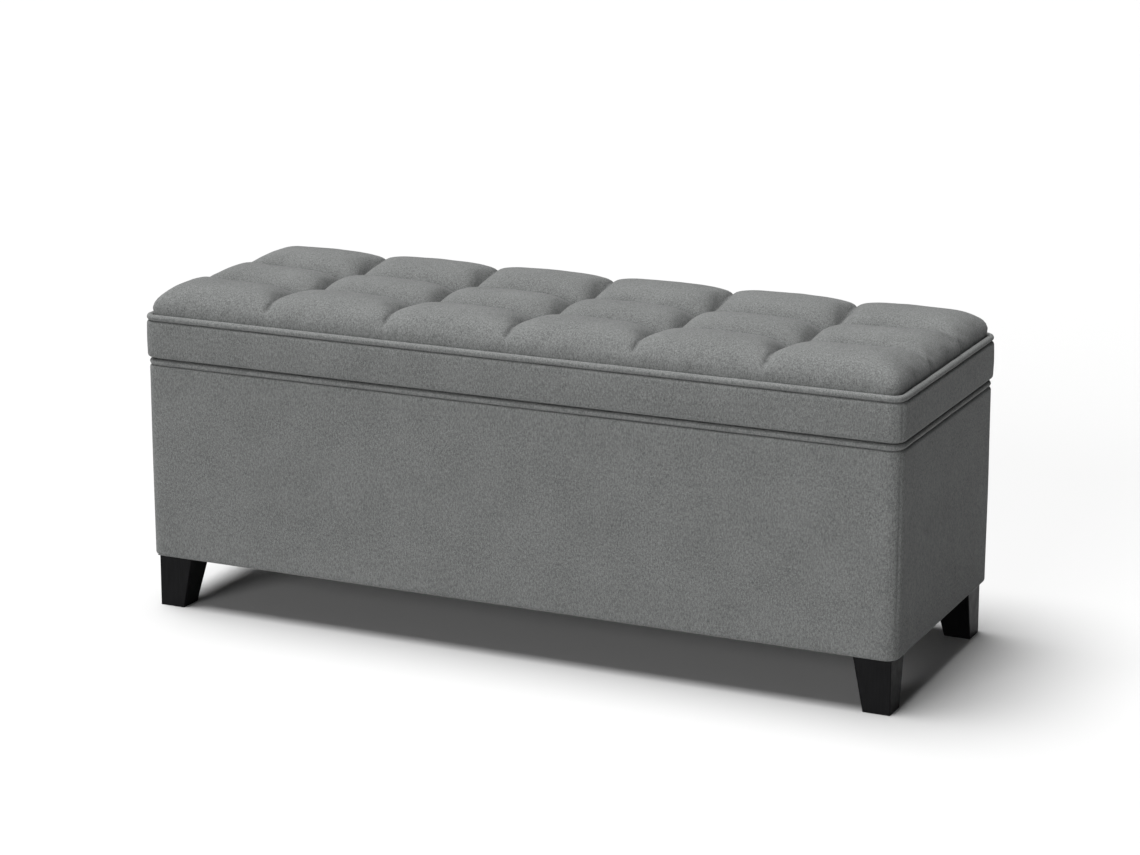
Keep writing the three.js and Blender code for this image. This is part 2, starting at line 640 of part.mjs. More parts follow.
// The X span of a layer that starts some distance inward from the lining, on one side.
function layer(side, start, thickness) {
  const outer = STAY_FACE_X - start;
  const span = [side * outer, side * (outer - thickness)];
  return span.sort((a, b) => a - b);
}

// A flat bar with round ends between two points of a stay.
function armBar(span, from, to, halfWidth) {
  const length = Math.hypot(to.y - from.y, to.z - from.z);
  const shape = new THREE.Shape();
  shape.absarc(0, 0, halfWidth, Math.PI / 2, 1.5 * Math.PI);
  shape.absarc(length, 0, halfWidth, -Math.PI / 2, Math.PI / 2);
  const depth = span[1] - span[0];
  const geometry = new THREE.ExtrudeGeometry(shape, { depth, bevelEnabled: false, curveSegments: 6 });
  // The outline's X and Y become the part's Y and Z, and the depth becomes X.
  const axes = new THREE.Matrix4().makeBasis(
    new THREE.Vector3(0, 1, 0),
    new THREE.Vector3(0, 0, 1),
    new THREE.Vector3(1, 0, 0),
  );
  geometry.applyMatrix4(axes);
  geometry.rotateX(Math.atan2(to.z - from.z, to.y - from.y));
  return solid(geometry.translate(span[0], from.y, from.z));
}

function makeStay(name, side) {
  const lowerSpan = layer(side, LOWER_ARM_AT, ARM);
  const upperSpan = layer(side, UPPER_ARM_AT, ARM);
  const hole = (point, radius, span) =>
    levelRod(radius, [span[0] - 1, span[1] + 1], point.y, point.z);

  const plateShape = roundedOutline([-14, -26], [14, 26], 6);
  const plate = new THREE.ExtrudeGeometry(plateShape, {
    depth: BRACKET,
    bevelEnabled: false,
    curveSegments: 4,
  });
  plate.rotateX(Math.PI / 2).rotateZ(Math.PI / 2);
  plate.translate(layer(side, GAP, BRACKET)[0], BOX_PIVOT.y, BOX_PIVOT.z);
  const stud = levelRod(
    STUD_RADIUS,
    layer(side, GAP + BRACKET / 2, LOWER_ARM_AT + ARM + GAP - BRACKET / 2),
    BOX_PIVOT.y,
    BOX_PIVOT.z,
  );
  const headAt = LOWER_ARM_AT + ARM + GAP;
  const head = levelRod(STUD_HEAD_RADIUS, layer(side, headAt, 1.8), BOX_PIVOT.y, BOX_PIVOT.z);
  const screws = [-1, 1].map((i) =>
    levelRod(2.3, layer(side, GAP - 1, BRACKET + 2), BOX_PIVOT.y, BOX_PIVOT.z + i * 18, 12),
  );
  add(`${name}_stay_box_bracket`, join(cut(solid(plate), ...screws), stud, head), blackSteel);

  const lower = armBar(lowerSpan, BOX_PIVOT, ELBOW, ARM_HALF_WIDTH);
  add(
    `${name}_stay_lower_arm`,
    cut(
      lower,
      hole(BOX_PIVOT, STUD_RADIUS + CLEAR_HOLE, lowerSpan),
      hole(ELBOW, STUD_RADIUS + CLEAR_HOLE, lowerSpan),
    ),
    blackSteel,
  );
  const upper = armBar(upperSpan, ELBOW, LID_PIVOT, ARM_HALF_WIDTH);
  add(
    `${name}_stay_upper_arm`,
    cut(upper, hole(ELBOW, STUD_RADIUS + CLEAR_HOLE, upperSpan)),
    blackSteel,
  );

  const shaft = levelRod(
    STUD_RADIUS,
    layer(side, LOWER_ARM_AT - 0.5, UPPER_ARM_AT + ARM + GAP + 1 - LOWER_ARM_AT + 0.5),
    ELBOW.y,
    ELBOW.z,
  );
  const drum = levelRod(DAMPER_RADIUS, layer(side, UPPER_ARM_AT + ARM + GAP, 7), ELBOW.y, ELBOW.z, 24);
  add(`${name}_stay_damper`, join(shaft, drum), blackSteel);

  const earSpan = layer(side, EAR_AT, BRACKET);
  const flangeX = layer(side, EAR_AT, 32);
  const flangeTop = LID_BOTTOM - GAP;
  const flange = brick(
    flangeX,
    [LID_PIVOT.y - 22, LID_PIVOT.y + 22],
    [flangeTop - 1.5, flangeTop],
  );
  const ear = brick(earSpan, [LID_PIVOT.y - 10, LID_PIVOT.y + 10], [LID_PIVOT.z, flangeTop]);
  const earEnd = levelRod(10, earSpan, LID_PIVOT.y, LID_PIVOT.z);
  const boss = levelRod(
    STUD_RADIUS,
    layer(side, EAR_AT - 0.5, BRACKET + 2),
    LID_PIVOT.y,
    LID_PIVOT.z,
  );
  const flangeHoles = [-1, 1].map((i) => {
    const x = (flangeX[0] + flangeX[1]) / 2 - side * 3;
    return uprightRod(2.3, x, LID_PIVOT.y + i * 14, flangeTop - 3, flangeTop + 1, 12);
  });
  const lidBracket = cut(join(flange, ear, earEnd, boss), ...flangeHoles);
  add(`${name}_stay_lid_bracket`, lidBracket, blackSteel);
}

// ---- Assembly -----------------------------------------------------------------------
makeBoards();
CORNERS.forEach(makeCorner);
makeBoxCovering();
makeRimCover();
makeLining();
makeBumpers();
makeLidFrame();
makeLidCovering();
makeCushion();
makeTwine("front_tufting_twine", SEAM_Y[0]);
makeTwine("back_tufting_twine", SEAM_Y[1]);
makeHinge("left", -HINGE_X);
makeHinge("right", HINGE_X);
makeStay("left", -1);
makeStay("right", 1);

export default root;
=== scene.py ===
import bpy
import json
import math
import numpy as np
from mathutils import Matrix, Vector, noise


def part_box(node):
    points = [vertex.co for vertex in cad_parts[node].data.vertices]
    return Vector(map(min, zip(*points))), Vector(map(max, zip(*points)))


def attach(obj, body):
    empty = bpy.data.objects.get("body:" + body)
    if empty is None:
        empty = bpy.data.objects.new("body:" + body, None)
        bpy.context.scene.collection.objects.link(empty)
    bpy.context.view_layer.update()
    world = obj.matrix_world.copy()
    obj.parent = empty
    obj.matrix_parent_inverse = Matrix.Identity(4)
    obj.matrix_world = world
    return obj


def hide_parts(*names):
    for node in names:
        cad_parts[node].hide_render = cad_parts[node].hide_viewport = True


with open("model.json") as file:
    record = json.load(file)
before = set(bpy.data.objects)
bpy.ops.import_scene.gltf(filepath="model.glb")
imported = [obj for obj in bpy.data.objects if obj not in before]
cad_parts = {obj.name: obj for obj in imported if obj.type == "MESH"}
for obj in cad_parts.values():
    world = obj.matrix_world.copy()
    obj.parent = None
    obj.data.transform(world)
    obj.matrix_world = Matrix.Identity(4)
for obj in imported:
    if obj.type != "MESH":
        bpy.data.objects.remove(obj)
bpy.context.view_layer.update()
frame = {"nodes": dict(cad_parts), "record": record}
nodes = frame["nodes"]

# ---- Where the frame puts things (metres) -------------------------------------------
cover_low, cover_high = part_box("box_cover")
band_low, band_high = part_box("lid_band")
top_low, top_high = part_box("tufted_top")
BOX_X, BOX_Y = cover_high.x, (cover_high.y - cover_low.y) / 2
LID_X, LID_Y = band_high.x, (band_high.y - band_low.y) / 2
MIDDLE_Y = (cover_high.y + cover_low.y) / 2
CORNER = 0.022
MM = 0.001


# ---- Camera -------------------------------------------------------------------------
def make_camera():
    data = bpy.data.cameras.new("camera")
    camera = bpy.data.objects.new("camera", data)
    bpy.context.scene.collection.objects.link(camera)
    data.sensor_width = 36
    data.lens = 98.2
    data.shift_y = -0.046
    camera.location = (2.0056, -4.3133 + MIDDLE_Y, 1.5881)
    back = Vector((0.40742, -0.88060, 0.24200))
    camera.rotation_mode = "QUATERNION"
    camera.rotation_quaternion = (-back).to_track_quat("-Z", "Y")
    bpy.context.scene.camera = camera


make_camera()


# ---- Mesh helpers -------------------------------------------------------------------
def new_piece(name, points, faces, material, body, smooth=True):
    mesh = bpy.data.meshes.new(name)
    mesh.from_pydata([tuple(p) for p in points], [], [tuple(f) for f in faces])
    mesh.validate()
    mesh.update()
    if smooth:
        mesh.polygons.foreach_set("use_smooth", [True] * len(mesh.polygons))
    piece = bpy.data.objects.new(name, mesh)
    bpy.context.scene.collection.objects.link(piece)
    mesh.materials.append(material)
    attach(piece, body)
    return piece


def outline(half_x, half_y, radius, step=0.006, arc=24):
    """Points round a rounded rectangle, counter-clockwise, with outward normals.

    The number of points depends only on step and arc, so that loops of different sizes match."""
    along_x = max(2, round(2 * BOX_X / step))
    along_y = max(2, round(2 * BOX_Y / step))
    points, normals = [], []
    sides = [
        ((1, -1), -90, along_y),
        ((1, 1), 0, along_x),
        ((-1, 1), 90, along_y),
        ((-1, -1), 180, along_x),
    ]
    ring = []
    for (sx, sy), start, count in sides:
        centre = np.array([sx * (half_x - radius), sy * (half_y - radius)])
        for k in range(arc + 1):
            angle = math.radians(start + 90 * k / arc)
            normal = np.array([math.cos(angle), math.sin(angle)])
            ring.append((centre + radius * normal, normal, count if k == arc else 0))
    for i, (point, normal, count) in enumerate(ring):
        points.append(point)
        normals.append(normal)
        if count:
            goal = ring[(i + 1) % len(ring)][0]
            for k in range(1, count):
                points.append(point + (goal - point) * k / count)
                normals.append(normal)
    return np.array(points), np.array(normals)


def loft(rows, close_rows):
    """Faces between rows of points, each row a closed loop."""
    count = len(rows[0])
    faces = []
    spans = len(rows) if close_rows else len(rows) - 1
    for j in range(spans):
        a, b = j * count, ((j + 1) % len(rows)) * count
        for i in range(count):
            n = (i + 1) % count
            faces.append((a + i, a + n, b + n, b + i))
    return faces


def upholstered_ring(name, half_x, half_y, profile, shape, material, body):
    """A closed band round the bench. profile lists (inset, z) once round its section, starting
    at the bottom inner edge and going out and up; shape gives the outward shift at a point."""
    rows = []
    for inset, z in profile:
        points, normals = outline(half_x - inset, half_y - inset, max(CORNER - inset, 0.0008))
        row = np.empty((len(points), 3))
        for i, (point, normal) in enumerate(zip(points, normals)):
            out = shape(point, normal, inset, z)
            row[i] = (*(point + normal * out), z)
        row[:, 1] += MIDDLE_Y
        rows.append(row)
    faces = loft(rows, True)
    return new_piece(name, np.concatenate(rows), faces, material, body)


def ripple(point, z, scale, seed):
    return noise.noise(Vector((point[0] * scale, point[1] * scale, z * scale + seed)))


# ---- Material helpers ---------------------------------------------------------------
class Graph:
    """A short way to write shader nodes."""

    def __init__(self, name):
        self.material = bpy.data.materials.new(name)
        self.material.use_nodes = True
        self.tree = self.material.node_tree
        self.shader = self.tree.nodes["Principled BSDF"]
        self.place = self.node("ShaderNodeTexCoord").outputs["Object"]

    def node(self, kind, inputs=(), **settings):
        made = self.tree.nodes.new(kind)
        for key, value in settings.items():
            setattr(made, key, value)
        for key, value in dict(inputs).items():
            self.put(made.inputs[key], value)
        return made

    def put(self, socket, value):
        if isinstance(value, bpy.types.NodeSocket):
            self.tree.links.new(value, socket)
        else:
            socket.default_value = value

    def math(self, operation, a, b=0.0, c=0.0):
        made = self.node("ShaderNodeMath", operation=operation)
        for socket, value in zip(made.inputs, (a, b, c)):
            self.put(socket, value)
        return made.outputs[0]

    def noise(self, scale, detail=2.0, roughness=0.5, stretch=(1, 1, 1)):
        place = self.place
        if stretch != (1, 1, 1):
            place = self.node("ShaderNodeMapping", {"Vector": place, "Scale": stretch}).outputs[0]
        made = self.node(
            "ShaderNodeTexNoise",
            {"Vector": place, "Scale": scale, "Detail": detail, "Roughness": roughness},
        )
        return made.outputs[0]

    def mix(self, share, a, b):
        made = self.node("ShaderNodeMix", data_type="RGBA")
        self.put(made.inputs[0], share)
        self.put(made.inputs[6], a)
        self.put(made.inputs[7], b)
        return made.outputs[2]

    def remap(self, value, low, high, to_low=0.0, to_high=1.0):
        made = self.node("ShaderNodeMapRange", {0: value, 1: low, 2: high, 3: to_low, 4: to_high})
        return made.outputs[0]

    def threads(self, pitch):
        """Crossing threads on any face, from 0 to 1, with the pitch in metres."""
        parts = self.node("ShaderNodeSeparateXYZ", {0: self.place}).outputs
        waves = [
            self.math("SINE", self.math("MULTIPLY", part, 2 * math.pi / pitch)) for part in parts
        ]
        total = self.math("ADD", self.math("ADD", waves[0], waves[1]), waves[2])
        return self.remap(total, -3.0, 3.0)

    def bump(self, height, strength, distance):
        made = self.node(
            "ShaderNodeBump", {"Height": height, "Strength": strength, "Distance": distance}
        )
        self.put(self.shader.inputs["Normal"], made.outputs[0])

    def set(self, **values):
        for key, value in values.items():
            self.put(self.shader.inputs[key.replace("_", " ")], value)


def rgb(*channels):
    return (*channels, 1.0)


def heathered_fabric(name, dark, light, pitch=0.0011, sheen=0.06, relief=0.0004):
    g = Graph(name)
    fibres = g.noise(950, 3.0, 0.7)
    slubs = g.noise(430, 2.0, 0.6, (1.0, 1.0, 0.5))
    cloud = g.noise(14, 2.0)
    mixed = g.math("ADD", g.math("MULTIPLY", fibres, 0.62), g.math("MULTIPLY", slubs, 0.32))
    mixed = g.math("ADD", mixed, g.math("MULTIPLY", cloud, 0.06))
    share = g.remap(mixed, 0.38, 0.62)
    g.set(Base_Color=g.mix(share, dark, light))
    g.set(Roughness=g.remap(fibres, 0.3, 0.7, 0.85, 0.98))
    weave = g.threads(pitch)
    height = g.math("ADD", g.math("MULTIPLY", weave, 0.6), g.math("MULTIPLY", fibres, 0.8))
    height = g.math("ADD", height, g.math("MULTIPLY", slubs, 0.6))
    g.bump(height, 0.7, relief)
    g.set(Sheen_Weight=sheen, Sheen_Roughness=0.5, Specular_IOR_Level=0.2)
    return g.material


def wood(name, dark, light, roughness, grain=(3.0, 40.0, 40.0)):
    g = Graph(name)
    rings = g.noise(3.0, 4.0, 0.6, grain)
    pores = g.noise(40.0, 3.0, 0.6, grain)
    share = g.remap(g.math("ADD", rings, g.math("MULTIPLY", pores, 0.3)), 0.45, 0.85)
    g.set(Base_Color=g.mix(share, dark, light), Roughness=roughness)
    g.bump(pores, 0.4, 0.0003)
    return g.material


def black_lacquer():
    g = Graph("black_lacquer")
    grain = g.noise(30.0, 4.0, 0.6, (14.0, 14.0, 1.0))
    wear = g.noise(60.0, 3.0, 0.6)
    g.set(Base_Color=g.mix(g.remap(grain, 0.3, 0.7), rgb(0.002, 0.002, 0.0023), rgb(0.005, 0.005, 0.0056)))
    g.set(Roughness=g.remap(wear, 0.3, 0.7, 0.34, 0.48))
    g.bump(grain, 0.25, 0.0002)
    g.set(Specular_IOR_Level=0.07)
    return g.material


def metal(name, colour, roughness, metallic=1.0):
    g = Graph(name)
    scratches = g.noise(120.0, 4.0, 0.65, (1.0, 12.0, 12.0))
    tone = [c * 0.8 for c in colour[:3]]
    g.set(Base_Color=g.mix(g.remap(scratches, 0.3, 0.7), rgb(*tone), colour))
    g.set(Roughness=g.remap(scratches, 0.3, 0.7, roughness - 0.08, roughness + 0.08))
    g.bump(scratches, 0.15, 0.0001)
    g.set(Metallic=metallic)
    return g.material


def grained(name, dark, light, scale, roughness, relief):
    g = Graph(name)
    grain = g.noise(scale, 4.0, 0.6)
    g.set(Base_Color=g.mix(g.remap(grain, 0.35, 0.65), dark, light), Roughness=roughness)
    g.bump(grain, 0.5, relief)
    return g.material


grey = heathered_fabric("grey_upholstery", rgb(0.050, 0.052, 0.051), rgb(0.166, 0.170, 0.168))
welt_grey = heathered_fabric(
    "grey_welt", rgb(0.057, 0.059, 0.058), rgb(0.175, 0.179, 0.177), 0.0011, 0.06, 0.0003
)
black_cloth = heathered_fabric(
    "black_cloth", rgb(0.009, 0.009, 0.010), rgb(0.026, 0.026, 0.028), 0.0016, 0.04, 0.0002
)
by_slot = {
    "grey_fabric": grey,
    "black_lining": black_cloth,
    "foam": grained("foam", rgb(0.66, 0.60, 0.42), rgb(0.86, 0.81, 0.65), 420.0, 0.95, 0.0006),
    "board": wood("board", rgb(0.34, 0.23, 0.12), rgb(0.56, 0.42, 0.25), 0.7),
    "solid_wood": wood("solid_wood", rgb(0.44, 0.30, 0.15), rgb(0.66, 0.50, 0.29), 0.65),
    "black_lacquer": black_lacquer(),
    "steel": metal("zinc_steel", rgb(0.58, 0.58, 0.60), 0.34),
    "black_steel": metal("black_steel", rgb(0.022, 0.022, 0.024), 0.42, 0.6),
    "black_rubber": grained("rubber", rgb(0.012, 0.012, 0.012), rgb(0.03, 0.03, 0.03), 300.0, 0.85, 0.0001),
    "twine": heathered_fabric("twine", rgb(0.55, 0.51, 0.42), rgb(0.80, 0.77, 0.68)),
}
for row in frame["record"]["subparts"]:
    data = nodes[row["node"]].data
    data.materials.clear()
    data.materials.append(by_slot[row["material_slot"]])


# ---- Box and lid upholstery ---------------------------------------------------------
SEAM_TURN = 32.0  # degrees from the end face to the seam down a corner
SEAM_SPREAD = 5.0  # degrees the seam's groove spreads to each side
LIP_TURN, LIP_SPREAD = 16.0, 9.0  # degrees from the seam to the fabric's raised lip, and its spread
BAND_EDGE_RADIUS = 0.006
ROLL_RADIUS = 0.0055  # of the rolled top edge of a band
HEM_LOW, HEM_HIGH = 0.001, 0.0022  # the folded hem's two layers over the band's lowest level


def spaced(start, end, count):
    return [start + (end - start) * k / count for k in range(count + 1)]


def band_profile(low, high, hem, inner, count):
    """Section of a padded band: under hem, rounded lower edge, face, rolled top, inner side."""
    section = [(inset, low) for inset in spaced(hem, BAND_EDGE_RADIUS + 0.001, 4)]
    for k in range(1, 7):
        angle = math.radians(90 * k / 6)
        inset = BAND_EDGE_RADIUS * (1 - math.sin(angle))
        section.append((inset, low + BAND_EDGE_RADIUS * (1 - math.cos(angle))))
    section += [(0.0, z) for z in spaced(low + BAND_EDGE_RADIUS, high - ROLL_RADIUS, count)[1:]]
    for k in range(1, 7):
        angle = math.radians(90 * k / 6)
        inset = ROLL_RADIUS * (1 - math.cos(angle))
        section.append((inset, high - ROLL_RADIUS * (1 - math.sin(angle))))
    section.append((inner, high))
    section.append((inner, low + HEM_HIGH))
    section.append((hem, low + HEM_HIGH))
    section.append((hem, low + HEM_LOW))
    return section


def corner_share(normal):
    """1 in the middle of a rounded corner, 0 on the flat sides."""
    return 2 * abs(normal[0] * normal[1])


def corner_seam(normal):
    """Groove and raised lip, each from 0 to 1, of the sewn seam down a rounded corner."""
    turned = math.degrees(math.atan2(abs(normal[1]), abs(normal[0])))
    groove = math.exp(-(((turned - SEAM_TURN) / SEAM_SPREAD) ** 2))
    lip = math.exp(-(((turned - SEAM_TURN - LIP_TURN) / LIP_SPREAD) ** 2))
    return groove, lip


def face_shape(low, high, belly, waves, seed):
    """A face that swells a little between its edges, with a sewn seam down each corner."""

    def shape(point, normal, inset, z):
        if inset > 0.006:
            return 0.0
        height = min(max((z - low) / (high - low), 0.0), 1.0)
        swell = belly * math.sin(math.pi * height) ** 0.7
        soft = waves * ripple(point, z, 3.0, seed) + 0.4 * waves * ripple(point, z, 11.0, seed)
        ends = math.sin(math.pi * height) ** 0.5
        groove, lip = corner_seam(normal)
        seam = (0.35 * lip - 1.0 * groove) * MM * ends if corner_share(normal) > 0.02 else 0.0
        return (swell + soft) * ends * (1 - 0.6 * corner_share(normal)) + seam

    return shape


def make_box_upholstery():
    low, high = cover_low.z, cover_high.z
    section = band_profile(low, high, 0.030, 0.0094, 44)
    shape = face_shape(low, high, 0.9 * MM, 0.7 * MM, 3.0)
    piece = upholstered_ring("box_upholstery", BOX_X, BOX_Y, section, shape, grey, "box")
    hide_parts("box_cover", "box_padding")


def make_lid_band():
    low, high = band_low.z - 0.0020, band_high.z
    section = band_profile(low, high, 0.0098, 0.0090, 16)
    shape = face_shape(low, high, 1.4 * MM, 0.8 * MM, 17.0)
    piece = upholstered_ring("lid_band_upholstery", LID_X, LID_Y, section, shape, grey, "lid")
    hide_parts("lid_band", "lid_padding")


def make_welt(name, node, body, half_x, half_y, seed):
    """A covered cord sewn round the edge, slightly uneven along its length."""
    low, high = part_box(node)
    radius, z = (high.z - low.z) / 2 + 0.0002, (high.z + low.z) / 2
    points, normals = outline(
        half_x - radius - 0.0002, half_y - radius - 0.0002, CORNER - radius, 0.004, 12
    )
    sides = 14
    rows = []
    for k in range(sides):
        angle = 2 * math.pi * k / sides
        row = np.empty((len(points), 3))
        for i, (point, normal) in enumerate(zip(points, normals)):
            uneven = 1 + 0.06 * ripple(point, 0.0, 22.0, seed)
            lift = 0.5 * MM * ripple(point, 0.0, 2.6, seed + 9)
            out = radius * uneven * math.cos(angle)
            row[i] = (*(point + normal * out), z + lift + radius * uneven * math.sin(angle))
        row[:, 1] += MIDDLE_Y
        rows.append(row)
    piece = new_piece(name, np.concatenate(rows), loft(rows, True), welt_grey, body)
    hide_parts(node)


make_box_upholstery()
make_lid_band()
make_welt("box_welt", "box_piping", "box", BOX_X, BOX_Y, 41.0)
make_welt("lid_welt", "lid_piping", "lid", LID_X, LID_Y, 73.0)


# ---- Tufted seat --------------------------------------------------------------------
COLUMNS, ROWS = 6, 3
CELLS_X, CELLS_Y = 32, 26
SEAT_X, SEAT_Y = top_high.x, (top_high.y - top_low.y) / 2
TUFT_X, TUFT_Y = 2 * SEAT_X / COLUMNS, 2 * SEAT_Y / ROWS
SEAT_BASE = band_high.z + 0.0020
SEAT_RISE = top_high.z - SEAT_BASE - 2.5 * MM  # the stretched cloth swells by the rest
SEAT_CORNER = 0.020
EDGE_REACH = 0.052
SHOULDER_X, SHOULDER_Y = 0.056, TUFT_Y / 2  # from a seam to the level top of a tuft
SEAM_SOFTNESS = 0.0012
SEAM_DIP_X, SEAM_DIP_Y = 24.0 * MM, 37.0 * MM
CREASE_DIP = 9.0 * MM  # where a seam between columns runs down the edge
FRONT_LIFT = 4.5 * MM
CROSSING_DIP = 1.0 * MM
STITCH_DIP = 2.2 * MM  # the narrow groove of the sewn line itself
SEAM_FADE = 0.085  # from the edge to where a seam has its full depth
CREASE_REACH = 0.016
CROSSING_REACH = 0.016
STITCH_REACH = 0.0013
HELD_FROM_SIDE = 0.05  # the row seams are free nearer the sides than this
LARGEST_MOVE = 9.0 * MM  # the cloth swells by no more than this


def tuft_lines(count, pitch, cells):
    """Grid lines on one axis, from the middle, closer together beside seams and edges."""
    lines = []
    for i in range(count * cells + 1):
        tuft, share = divmod(i, cells)
        even, bunched = share / cells, (1 - math.cos(math.pi * share / cells)) / 2
        lines.append((tuft - count / 2 + 0.4 * even + 0.6 * bunched) * pitch)
    return lines


def from_seam(at, pitch, count):
    """Signed distance to the nearest seam between tufts."""
    number = min(max(round(at / pitch + count / 2), 1), count - 1)
    return at - (number - count / 2) * pitch


def smooth(t):
    t = min(max(t, 0.0), 1.0)
    return t * t * (3 - 2 * t)


def rounded(t, power=2.2):
    """Height of a rounded shoulder, from 0 where it starts to 1 where it is level."""
    return (1 - (1 - min(max(t, 0.0), 1.0)) ** power) ** (1 / power)


def seam_share(distance, reach, power):
    """1 at a seam, falling to 0 at the reach, with a narrow round bottom."""
    share = 1 - rounded(math.hypot(distance, SEAM_SOFTNESS) / reach, power)
    return share / (1 - rounded(SEAM_SOFTNESS / reach, power))


def seat_point(u, v):
    """Where a point of the flat cover lies over the foam, in metres from the middle."""
    x, y = u, v
    inner_x, inner_y = SEAT_X - SEAT_CORNER, SEAT_Y - SEAT_CORNER
    to_side, to_front = SEAT_X - abs(u), SEAT_Y - abs(v)
    out = Vector((math.copysign(to_side < to_front, u), math.copysign(to_side >= to_front, v)))
    if abs(u) > inner_x and abs(v) > inner_y:
        a = (abs(u) - inner_x) / SEAT_CORNER
        b = (abs(v) - inner_y) / SEAT_CORNER
        across, up = a * math.sqrt(1 - b * b / 2), b * math.sqrt(1 - a * a / 2)
        x = math.copysign(inner_x + SEAT_CORNER * across, u)
        y = math.copysign(inner_y + SEAT_CORNER * up, v)
        out = Vector((math.copysign(across, u), math.copysign(up, v)))
        out = out.normalized() if out.length > 1e-9 else Vector((0, 0))
    edge = max(min(to_side, to_front), 0.0)

    dx, dy = from_seam(u, TUFT_X, COLUMNS), from_seam(v, TUFT_Y, ROWS)
    columns = SEAM_DIP_X * seam_share(dx, SHOULDER_X, 2.1) * smooth(to_front / SEAM_FADE)
    rows = SEAM_DIP_Y * seam_share(dy, SHOULDER_Y, 2.0) * smooth(to_side / SEAM_FADE)
    dip = columns + rows - columns * rows / SEAM_DIP_Y
    crease = CREASE_DIP * seam_share(dx, CREASE_REACH, 2.0) * smooth(to_front / CREASE_REACH)
    dip = max(dip, crease) + 0.3 * min(dip, crease)
    dip += CROSSING_DIP * math.exp(-math.hypot(dx, dy) / CROSSING_REACH)
    row_groove = math.exp(-((dy / STITCH_REACH) ** 2)) * smooth(to_side / SEAM_FADE)
    column_groove = math.exp(-((dx / STITCH_REACH) ** 2)) * smooth(to_front / 0.03)
    dip += STITCH_DIP * max(row_groove, column_groove)

    walls = rounded(to_side / EDGE_REACH), rounded(to_front / EDGE_REACH)
    wall = (walls[0] ** -8 + walls[1] ** -8 - 1) ** -0.125 if edge > 0 else 0.0
    lift = FRONT_LIFT * smooth((-v - TUFT_Y / 2) / 0.03) * smooth(edge / 0.04)
    z = SEAT_BASE + (SEAT_RISE + lift) * wall - dip * smooth(edge / 0.02)

    above = smooth((z - SEAT_BASE - 0.003) / 0.009)
    bulge = 4.0 * MM * above * math.exp(-((edge / 0.034) ** 2))
    along = dx if abs(out.x) < 0.5 else dy
    bulge *= 1 - 0.6 * math.exp(-abs(along) / 0.012)
    swell = noise.noise(Vector((u * 7.0, v * 7.0, 5.0)))
    z += 0.9 * MM * swell * smooth(edge / 0.03)
    return x + out.x * bulge, y + out.y * bulge, z


def settle(points, faces, held):
    """Puffs the cover up as cloth held at its edge and seams, and returns where it rests."""
    mesh = bpy.data.meshes.new("settling")
    mesh.from_pydata(points, [], faces)
    sheet = bpy.data.objects.new("settling", mesh)
    bpy.context.scene.collection.objects.link(sheet)
    sheet.vertex_groups.new(name="held").add(held, 1.0, "REPLACE")
    cloth = sheet.modifiers.new("cloth", "CLOTH")
    cloth.collision_settings.use_collision = False
    settings = cloth.settings
    settings.quality = 5
    settings.tension_stiffness = settings.compression_stiffness = 15
    settings.shear_stiffness = 5
    settings.bending_stiffness = 1
    settings.use_pressure = True
    settings.uniform_pressure_force = 10
    settings.shrink_min = -0.01
    settings.vertex_group_mass = "held"
    settings.effector_weights.gravity = 0
    for step in range(1, 17):
        bpy.context.scene.frame_set(step)
    posed = sheet.evaluated_get(bpy.context.evaluated_depsgraph_get())
    rest = np.array([tuple(vertex.co) for vertex in posed.data.vertices])
    bpy.data.objects.remove(sheet)
    bpy.data.meshes.remove(mesh)
    bpy.context.scene.frame_set(1)
    start = np.array(points)
    moved = rest - start
    length = np.maximum(np.linalg.norm(moved, axis=1, keepdims=True), 1e-9)
    return start + moved * np.minimum(1.0, LARGEST_MOVE / length)


def make_seat():
    xs = tuft_lines(COLUMNS, TUFT_X, CELLS_X)
    ys = tuft_lines(ROWS, TUFT_Y, CELLS_Y)
    wide, deep = len(xs), len(ys)
    faces = []
    for j in range(deep - 1):
        for i in range(wide - 1):
            a = j * wide + i
            faces.append((a, a + 1, a + 1 + wide, a + wide))
    rim = list(range(wide))
    rim += [j * wide + wide - 1 for j in range(1, deep)]
    rim += [(deep - 1) * wide + i for i in range(wide - 2, -1, -1)]
    rim += [j * wide for j in range(deep - 2, 0, -1)]
    held = list(rim)
    for j in range(1, deep - 1):
        for i in range(1, wide - 1):
            on_row_seam = j % CELLS_Y == 0 and SEAT_X - abs(xs[i]) > HELD_FROM_SIDE
            if i % CELLS_X == 0 or on_row_seam:
                held.append(j * wide + i)
    top = settle([seat_point(x, y) for y in ys for x in xs], faces, held)
    points = [tuple(point) for point in top]
    first = len(points)
    floor_z = top_low.z
    points += [(points[i][0], points[i][1], floor_z) for i in rim]
    count = len(rim)
    for k in range(count):
        n = (k + 1) % count
        faces.append((rim[k], first + k, first + n, rim[n]))
    faces.append(tuple(first + k for k in reversed(range(count))))
    placed = [(x, y + MIDDLE_Y, z) for x, y, z in points]
    piece = new_piece("tufted_seat", placed, faces, grey, "lid")
    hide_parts("tufted_top", "lid_foam")


make_seat()


# ---- Cloth inside and under the bench -------------------------------------------------
rim_low, rim_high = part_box("rim_cover")
bag_low, bag_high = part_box("box_lining")
rail_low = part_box("hinge_rail")[0]
post_low, post_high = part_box("front_left_corner_post")
CLOTH = 0.001


def rectangle_loop(low, high, radius, step, arc=6):
    """Points and normals round a rounded rectangle from low to high, all loops alike in number."""
    half = ((high[0] - low[0]) / 2, (high[1] - low[1]) / 2)
    points, normals = outline(half[0], half[1], radius, step, arc)
    points = points + np.array([(high[0] + low[0]) / 2, (high[1] + low[1]) / 2])
    return points, normals


